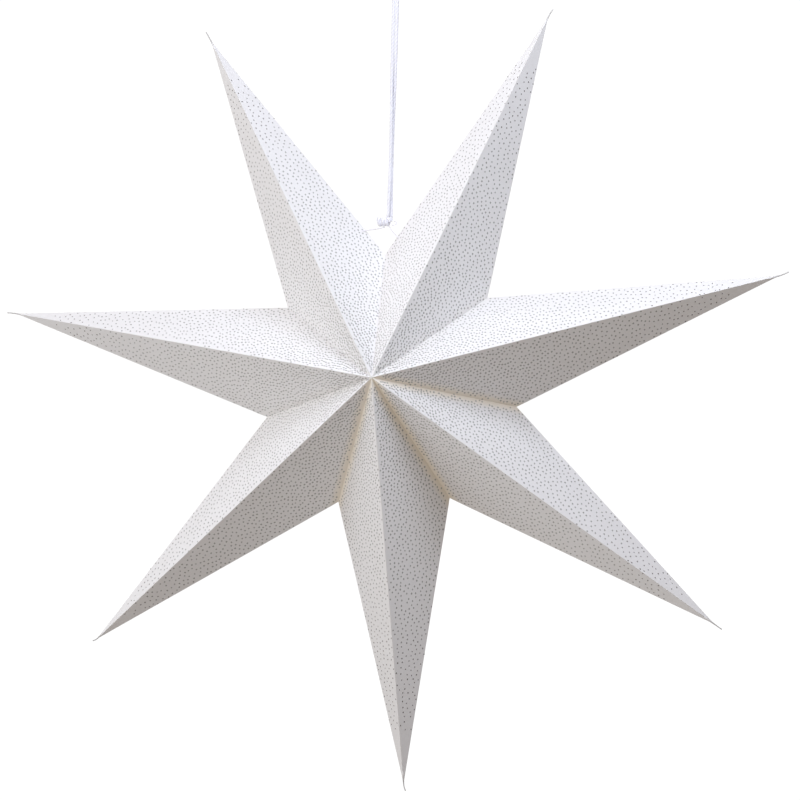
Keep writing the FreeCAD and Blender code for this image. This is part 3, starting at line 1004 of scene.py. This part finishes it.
def knot_stub(number):
    """Where one strand of the string runs into the knot."""
    look = bpy.context.scene.star_string
    material = string_material("Knot yarn", look.colour, look.groove)
    foot = string_route()[0 if number == 1 else -1]
    top = foot - Vector((0, 0, 0.04 * MM))
    bottom = Vector((foot.x * 0.7, foot.y * 0.7, -206.6 * MM))
    path = [top.lerp(bottom, step / 8) for step in range(9)]
    return yarn(f"knot_stub_{number}", path, look.thickness, look.lay, material)


def knot_curl():
    """The short free end that curls out under the knot's right side."""
    look = bpy.context.scene.star_string
    # the tie colour stands in the curl's grooves between its plies as painted shade
    material = string_material("Curl yarn", look.colour, look.tie_colour, 0.1)
    route = [
        Vector((1.2, -1.6, -208.6)),
        Vector((3.0, -2.6, -210.2)),
        Vector((5.0, -2.2, -209.6)),
        Vector((5.3, -1.4, -207.4)),
        Vector((4.2, -1.2, -206.6)),
    ]
    path = spline_points("curl route", [p * MM for p in route], 0.3 * MM)
    return yarn("knot_curl", path, 1.5 * MM, 3.0 * MM, material, plies=2, ring=10)


# how far a tie's hole lies from the seam's rim and from the seam's corner, and where ties start
TIE_INSET = 3.2
TIE_REACH = {"right": 16.0, "left": 25.0}
TIE_START = {"right": Vector((-0.6, 0, -210.4)), "left": Vector((-3.5, 0, -211.4))}
# the small stopper knot: how far behind the card, and its radius and length
STOPPER_BEHIND, STOPPER_RADIUS, STOPPER_LENGTH = 2.6, 0.75, 1.1
STOPPER_STEPS = 12


def tie_hole(side):
    """Where a tie goes through the card, and the card's outward direction there."""
    panel = Panel(1, "front", "left") if side == "right" else Panel(sizes().rays, "front", "right")
    corner = valley(0)
    along = (tip(panel.ray) - corner).normalized()
    inwards = panel.outwards.cross(along)
    if inwards.dot(front_apex() - corner) < 0:
        inwards = -inwards
    return corner + along * TIE_REACH[side] * MM + inwards * TIE_INSET * MM, panel.outwards


def tie_yarn(side):
    """A thin tie from the knot through its hole, with a small stopper knot behind the card."""
    look = bpy.context.scene.star_string
    # the tie colour at 0.8 darkens the tie between its plies as painted shade
    material = string_material("Tie yarn", look.tie_colour, [c * 0.8 for c in look.tie_colour], 0.1)
    start = TIE_START[side] * MM
    hole, outwards = tie_hole(side)
    direction = (hole - start).normalized()
    sag = Vector((0, -0.3 * MM, -0.35 * MM))
    route = [start, start.lerp(hole, 0.33) + sag, start.lerp(hole, 0.7) + sag, hole]
    centre = hole + direction * STOPPER_BEHIND * MM
    side_way = direction.orthogonal().normalized()
    up_way = direction.cross(side_way)
    for step in range(STOPPER_STEPS + 1):
        angle = step * math.pi / 3
        ring = side_way * math.cos(angle) + up_way * math.sin(angle)
        forward = (step / STOPPER_STEPS - 0.5) * STOPPER_LENGTH
        route.append(centre + (ring * STOPPER_RADIUS + direction * forward) * MM)
    path = spline_points(f"{side} tie route", route, 0.35 * MM)
    return yarn(f"{side}_tie_yarn", path, look.tie, 3.0 * MM, material, plies=2, ring=8)


# ---- stage ----

PHOTO_SIDE = 800
CAMERA_DISTANCE = 1500.0
# the camera's turns about the star, in degrees, and the pixel that the star's middle falls on
CAMERA_YAW, CAMERA_PITCH, CAMERA_ROLL = -8.68, -3.06, 1.99
CAMERA_CENTRE = (389.7, 383.2)
PIXELS_PER_MM = 1.3201
SENSOR = 36.0


def photograph_camera():
    """The camera that the photograph's outline fits."""
    roll = Matrix.Rotation(math.radians(-CAMERA_ROLL), 3, "Y")
    pitch = Matrix.Rotation(math.radians(CAMERA_PITCH), 3, "X")
    yaw = Matrix.Rotation(math.radians(CAMERA_YAW), 3, "Z")
    lean = Matrix.Rotation(-sizes().tilt, 3, "Y")
    turned = lean @ (roll @ pitch @ yaw).transposed()
    data = bpy.data.cameras.new("Photograph camera")
    camera = bpy.data.objects.new("Photograph camera", data)
    bpy.context.scene.collection.objects.link(camera)
    right = turned @ Vector((1, 0, 0))
    up = turned @ Vector((0, 0, 1))
    back = turned @ Vector((0, -1, 0))
    matrix = Matrix((right, up, back)).transposed().to_4x4()
    matrix.translation = middle() + back * CAMERA_DISTANCE * MM
    camera.matrix_world = matrix
    data.sensor_width = SENSOR
    data.lens = PIXELS_PER_MM * CAMERA_DISTANCE / PHOTO_SIDE * SENSOR
    data.shift_x = (PHOTO_SIDE / 2 - CAMERA_CENTRE[0]) / PHOTO_SIDE
    data.shift_y = (CAMERA_CENTRE[1] - PHOTO_SIDE / 2) / PHOTO_SIDE
    data.clip_start, data.clip_end = 0.05, 30
    bpy.context.scene.camera = camera


# soft lights: name, place from the star's middle in metres, side, power and colour
LIGHTS = (
    ("cool light from the left", (-1.2, -0.8, 0.1), 0.9, 6.5, (0.79, 0.89, 1.0)),
    ("warm light in front", (-1.0, -1.7, 0.2), 0.9, 8.2, (1.0, 0.89, 0.78)),
    ("key above right", (0.35, -0.55, 0.65), 0.5, 5.25, (0.80, 0.87, 1.0)),
    ("top left", (-0.35, -0.55, 0.65), 0.5, 1.2, (0.96, 0.94, 1.0)),
    ("behind", (0.3, 1.6, 0.5), 0.9, 9.0, (1.0, 1.0, 1.0)),
)
AMBIENT = (0.300, 0.265, 0.238)


def area_light(name, place, side, power, tint):
    """A soft square light that faces the star's middle and isn't seen itself."""
    data = bpy.data.lights.new(name, "AREA")
    data.shape = "SQUARE"
    data.size = side
    data.energy = power
    data.color = tint
    lamp = bpy.data.objects.new(name, data)
    bpy.context.scene.collection.objects.link(lamp)
    lamp.location = middle() + Vector(place)
    lamp.rotation_mode = "QUATERNION"
    lamp.rotation_quaternion = (-Vector(place)).to_track_quat("-Z", "Y")
    lamp.visible_camera = False


def studio():
    """A pale floor well below the star, a white surround and soft lights."""
    bpy.ops.mesh.primitive_plane_add(size=7, location=(0, 0.5, -1.75))
    floor = bpy.context.object
    floor.name = "floor"
    material, tree, shader = new_material("Pale floor", 0.9)
    shader.inputs["Base Color"].default_value = (0.8, 0.8, 0.8, 1)
    shader.inputs["Emission Color"].default_value = (0.55, 0.58, 0.62, 1)
    seen = node(tree, "ShaderNodeLightPath")
    tree.links.new(seen.outputs["Is Camera Ray"], shader.inputs["Emission Strength"])
    floor.data.materials.append(material)
    world = bpy.data.worlds.new("Studio")
    world.use_nodes = True
    tree = world.node_tree
    background = tree.nodes["Background"]
    rays = node(tree, "ShaderNodeLightPath")
    seen = mix_colour(tree, rays.outputs["Is Camera Ray"], with_alpha(AMBIENT), (1.06, 1.06, 1.06, 1))
    tree.links.new(seen, background.inputs["Color"])
    bpy.context.scene.world = world
    for light in LIGHTS:
        area_light(*light)
    bpy.context.scene.view_settings.view_transform = "Standard"


# ---- operators, one for each group of pieces ----


class STAR_OT_panels(bpy.types.Operator):
    """Replace every plain panel with scored, bowed card"""

    bl_idname = "star.panels"
    bl_label = "Card panels"

    def execute(self, context):
        for panel in all_panels():
            finish_piece(card_panel(panel), panel.body, [panel.body])
        return {"FINISHED"}


class STAR_OT_pricks(bpy.types.Operator):
    """Scatter pin pricks over every panel, dense in the middle and sparse at the tips"""

    bl_idname = "star.pricks"
    bl_label = "Pin pricks"

    def execute(self, context):
        for panel in all_panels():
            finish_piece(pricked_face(panel), panel.body)
        return {"FINISHED"}


class STAR_OT_tails(bpy.types.Operator):
    """Draw each ray out to its pinched tail"""

    bl_idname = "star.tails"
    bl_label = "Drawn-out tips"

    def execute(self, context):
        for ray in range(1, sizes().rays + 1):
            panel = Panel(ray, "front", "left")
            finish_piece(card_tail(panel), panel.body)
        return {"FINISHED"}


class STAR_OT_strips(bpy.types.Operator):
    """Give the glued strips inside their card"""

    bl_idname = "star.strips"
    bl_label = "Glued strips"

    def execute(self, context):
        kinds = ("_flap", "_hem", "_tab")
        strips = [piece for name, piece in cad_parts.items() if name.endswith(kinds)]
        if not strips:
            raise RuntimeError("the frame holds no glued strips")
        for piece in strips:
            piece.data.materials.clear()
            piece.data.materials.append(strip_material())
        return {"FINISHED"}


class STAR_OT_string(bpy.types.Operator):
    """Twist the doubled string over its hook"""

    bl_idname = "star.string"
    bl_label = "Hanging string"

    def execute(self, context):
        piece, path = hanging_yarn()
        finish_piece(piece, "hanging_string", ["hanging_string"])
        return {"FINISHED"}


class STAR_OT_knot(bpy.types.Operator):
    """Wind the knot and its curled end"""

    bl_idname = "star.knot"
    bl_label = "Knot"

    def execute(self, context):
        body = "ray_1_front_left"
        finish_piece(knot_turns(), body, ["knot"])
        for number in (1, 2):
            finish_piece(knot_stub(number), body)
        finish_piece(knot_curl(), body)
        return {"FINISHED"}


class STAR_OT_ties(bpy.types.Operator):
    """Tie the seam's two edges to the knot"""

    bl_idname = "star.ties"
    bl_label = "Ties"

    def execute(self, context):
        finish_piece(tie_yarn("right"), "ray_1_front_left", ["right_tie"])
        last = f"ray_{sizes().rays}_front_right"
        finish_piece(tie_yarn("left"), last, ["left_tie"])
        return {"FINISHED"}


class STAR_OT_stage(bpy.types.Operator):
    """Set the camera, the pale floor and the soft studio light"""

    bl_idname = "star.stage"
    bl_label = "Stage"

    def execute(self, context):
        photograph_camera()
        studio()
        return {"FINISHED"}


OPERATORS = (
    STAR_OT_stage,
    STAR_OT_string,
    STAR_OT_panels,
    STAR_OT_pricks,
    STAR_OT_tails,
    STAR_OT_strips,
    STAR_OT_knot,
    STAR_OT_ties,
)


class STAR_PT_sidebar(bpy.types.Panel):
    """Lists the star's pieces and sizes"""

    bl_idname = "STAR_PT_sidebar"
    bl_label = "Paper star"
    bl_space_type = "VIEW_3D"
    bl_region_type = "UI"
    bl_category = "Paper star"

    def draw(self, context):
        for group in GROUPS:
            box = self.layout.box()
            settings = getattr(context.scene, group)
            for name in settings.bl_rna.properties.keys():
                if name not in {"rna_type", "name"}:
                    box.prop(settings, name)
        for operator in OPERATORS:
            self.layout.operator(operator.bl_idname)


CLASSES = (*GROUPS.values(), *OPERATORS, STAR_PT_sidebar)


def register():
    """Add the operators, the sidebar and the scene's settings."""
    for made in CLASSES:
        bpy.utils.register_class(made)
    for name, group in GROUPS.items():
        setattr(bpy.types.Scene, name, PointerProperty(type=group))


def unregister():
    """Take them away again."""
    for name in GROUPS:
        delattr(bpy.types.Scene, name)
    for made in reversed(CLASSES):
        bpy.utils.unregister_class(made)


def main():
    """Build the star and its stage."""
    register()
    for operator in OPERATORS:
        group, name = operator.bl_idname.split(".")
        getattr(getattr(bpy.ops, group), name)()


if __name__ == "__main__":
    main()
